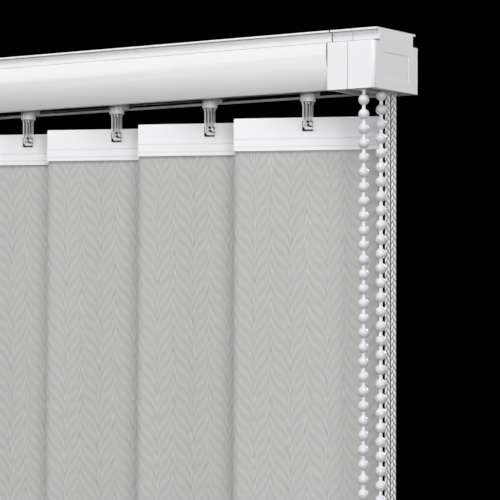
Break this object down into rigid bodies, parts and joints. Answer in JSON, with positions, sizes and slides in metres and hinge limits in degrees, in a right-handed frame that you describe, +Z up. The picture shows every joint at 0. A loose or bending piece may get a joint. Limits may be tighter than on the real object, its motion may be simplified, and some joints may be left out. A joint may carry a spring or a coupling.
{
  "type": "vertical blind",
  "caption": "Vertical blind: hollow headrail with end control unit, bead tilt chain, traverse cord, and fabric slats on geared clear hooks.",
  "frame": {"origin": "middle of the headrail's top face, halfway along the blind", "axes": "+X along the rail toward the control unit, +Y to the back (window side), +Z up"},
  "size_m": [0.477, 0.05, 1],
  "materials": {
    "coated_aluminium": "satin powder coat",
    "white_abs": "fine satin",
    "bare_aluminium": "mill",
    "white_acetal": "satin",
    "white_beads": "gloss",
    "steel": "bright",
    "white_cord": "twisted",
    "white_plastic": "satin",
    "clear_polycarbonate": "clear",
    "herringbone_fabric": "woven",
    "coated_steel": "powder coat"
  },
  "bodies": {
    "rail": {"headrail": "coated_aluminium", "control_housing": "white_abs", "control_cover": "white_abs", "far_end_cap": "white_abs", "pulley_pins": "steel", "return_pin": "steel", "tilt_chain": "white_beads", "rail_cord": "white_cord", "traverse_cord_front": "white_cord", "traverse_cord_back": "white_cord", "cord_weight": "white_plastic", "carrier_6": "white_acetal", "spacer_6": "steel"},
    "tilt_drive": {"tilt_rod": "bare_aluminium", "chain_wheel": "white_acetal"},
    "front_pulley": {"cord_pulley_front": "white_acetal"},
    "back_pulley": {"cord_pulley_back": "white_acetal"},
    "turn_pulley": {"return_pulley": "white_acetal"},
    "runner_1": {"carrier_1": "white_acetal", "cord_clamp": "steel"},
    "runner_2": {"carrier_2": "white_acetal", "spacer_2": "steel"},
    "runner_3": {"carrier_3": "white_acetal", "spacer_3": "steel"},
    "runner_4": {"carrier_4": "white_acetal", "spacer_4": "steel"},
    "runner_5": {"carrier_5": "white_acetal", "spacer_5": "steel"},
    "vane_1": {"hook_1": "clear_polycarbonate", "hanger_1": "white_plastic", "slat_1": "herringbone_fabric", "weight_1": "coated_steel"},
    "screw_1": {"worm_1": "white_acetal"},
    "vane_2": {"hook_2": "clear_polycarbonate", "hanger_2": "white_plastic", "slat_2": "herringbone_fabric", "weight_2": "coated_steel"},
    "screw_2": {"worm_2": "white_acetal"},
    "vane_3": {"hook_3": "clear_polycarbonate", "hanger_3": "white_plastic", "slat_3": "herringbone_fabric", "weight_3": "coated_steel"},
    "screw_3": {"worm_3": "white_acetal"},
    "vane_4": {"hook_4": "clear_polycarbonate", "hanger_4": "white_plastic", "slat_4": "herringbone_fabric", "weight_4": "coated_steel"},
    "screw_4": {"worm_4": "white_acetal"},
    "vane_5": {"hook_5": "clear_polycarbonate", "hanger_5": "white_plastic", "slat_5": "herringbone_fabric", "weight_5": "coated_steel"},
    "screw_5": {"worm_5": "white_acetal"},
    "vane_6": {"hook_6": "clear_polycarbonate", "hanger_6": "white_plastic", "slat_6": "herringbone_fabric", "weight_6": "coated_steel"},
    "screw_6": {"worm_6": "white_acetal"}
  },
  "joints": [
    {"name": "traverse_1", "type": "slide", "parent": "rail", "child": "runner_1", "axis": [1, 0, 0], "range_m": [0, 0.235]},
    {"name": "traverse_2", "type": "slide", "parent": "rail", "child": "runner_2", "axis": [1, 0, 0], "range_m": [0, 0.188]},
    {"name": "traverse_3", "type": "slide", "parent": "rail", "child": "runner_3", "axis": [1, 0, 0], "range_m": [0, 0.141]},
    {"name": "traverse_4", "type": "slide", "parent": "rail", "child": "runner_4", "axis": [1, 0, 0], "range_m": [0, 0.094]},
    {"name": "traverse_5", "type": "slide", "parent": "rail", "child": "runner_5", "axis": [1, 0, 0], "range_m": [0, 0.047]},
    {"name": "tilt_1", "type": "hinge", "parent": "runner_1", "child": "vane_1", "pos_m": [-0.1775, 0, -0.0205], "axis": [0, 0, 1], "range_deg": [-9.5, 145], "deforming": ["tilt_chain"]},
    {"name": "worm_turn_1", "type": "hinge", "parent": "runner_1", "child": "screw_1", "pos_m": [-0.1775, -0.01, -0.0205], "axis": [1, 0, 0], "range_deg": [-1740, 114]},
    {"name": "tilt_2", "type": "hinge", "parent": "runner_2", "child": "vane_2", "pos_m": [-0.1065, 0, -0.0205], "axis": [0, 0, 1], "range_deg": [-9.5, 145]},
    {"name": "worm_turn_2", "type": "hinge", "parent": "runner_2", "child": "screw_2", "pos_m": [-0.1065, -0.01, -0.0205], "axis": [1, 0, 0], "range_deg": [-1740, 114]},
    {"name": "tilt_3", "type": "hinge", "parent": "runner_3", "child": "vane_3", "pos_m": [-0.0355, 0, -0.0205], "axis": [0, 0, 1], "range_deg": [-9.5, 145]},
    {"name": "worm_turn_3", "type": "hinge", "parent": "runner_3", "child": "screw_3", "pos_m": [-0.0355, -0.01, -0.0205], "axis": [1, 0, 0], "range_deg": [-1740, 114]},
    {"name": "tilt_4", "type": "hinge", "parent": "runner_4", "child": "vane_4", "pos_m": [0.0355, 0, -0.0205], "axis": [0, 0, 1], "range_deg": [-9.5, 145]},
    {"name": "worm_turn_4", "type": "hinge", "parent": "runner_4", "child": "screw_4", "pos_m": [0.0355, -0.01, -0.0205], "axis": [1, 0, 0], "range_deg": [-1740, 114]},
    {"name": "tilt_5", "type": "hinge", "parent": "runner_5", "child": "vane_5", "pos_m": [0.1065, 0, -0.0205], "axis": [0, 0, 1], "range_deg": [-9.5, 145]},
    {"name": "worm_turn_5", "type": "hinge", "parent": "runner_5", "child": "screw_5", "pos_m": [0.1065, -0.01, -0.0205], "axis": [1, 0, 0], "range_deg": [-1740, 114]},
    {"name": "tilt_6", "type": "hinge", "parent": "rail", "child": "vane_6", "pos_m": [0.1775, 0, -0.0205], "axis": [0, 0, 1], "range_deg": [-9.5, 145]},
    {"name": "worm_turn_6", "type": "hinge", "parent": "rail", "child": "screw_6", "pos_m": [0.1775, -0.01, -0.0205], "axis": [1, 0, 0], "range_deg": [-1740, 114]},
    {"name": "rod_turn", "type": "hinge", "parent": "rail", "child": "tilt_drive", "pos_m": [0, -0.01, -0.0205], "axis": [1, 0, 0], "range_deg": [-1740, 114]},
    {"name": "front_pulley_turn", "type": "hinge", "parent": "rail", "child": "front_pulley", "pos_m": [0.2242, 0.0072, -0.013], "axis": [0, 1, 0], "range_deg": [-3206.84, 0]},
    {"name": "back_pulley_turn", "type": "hinge", "parent": "rail", "child": "back_pulley", "pos_m": [0.2242, 0.0139, -0.0235], "axis": [0, 1, 0], "range_deg": [0, 3206.84]},
    {"name": "return_pulley_turn", "type": "hinge", "parent": "rail", "child": "turn_pulley", "pos_m": [-0.2115, 0.01055, -0.01405], "axis": [0, 0.843, 0.5379], "range_deg": [-2163.01, 0]}
  ],
  "couplings": [
    {"joint": "traverse_2", "follows": "traverse_1", "ratio": 0.8},
    {"joint": "traverse_3", "follows": "traverse_1", "ratio": 0.6},
    {"joint": "traverse_4", "follows": "traverse_1", "ratio": 0.4},
    {"joint": "traverse_5", "follows": "traverse_1", "ratio": 0.2},
    {"joint": "worm_turn_1", "follows": "tilt_1", "ratio": -12},
    {"joint": "tilt_2", "follows": "tilt_1", "ratio": 1},
    {"joint": "worm_turn_2", "follows": "tilt_1", "ratio": -12},
    {"joint": "tilt_3", "follows": "tilt_1", "ratio": 1},
    {"joint": "worm_turn_3", "follows": "tilt_1", "ratio": -12},
    {"joint": "tilt_4", "follows": "tilt_1", "ratio": 1},
    {"joint": "worm_turn_4", "follows": "tilt_1", "ratio": -12},
    {"joint": "tilt_5", "follows": "tilt_1", "ratio": 1},
    {"joint": "worm_turn_5", "follows": "tilt_1", "ratio": -12},
    {"joint": "tilt_6", "follows": "tilt_1", "ratio": 1},
    {"joint": "worm_turn_6", "follows": "tilt_1", "ratio": -12},
    {"joint": "rod_turn", "follows": "tilt_1", "ratio": -12},
    {"joint": "front_pulley_turn", "follows": "traverse_1", "rad_per_m": -238.1},
    {"joint": "back_pulley_turn", "follows": "traverse_1", "rad_per_m": 238.1},
    {"joint": "return_pulley_turn", "follows": "traverse_1", "rad_per_m": -160.57}
  ]
}
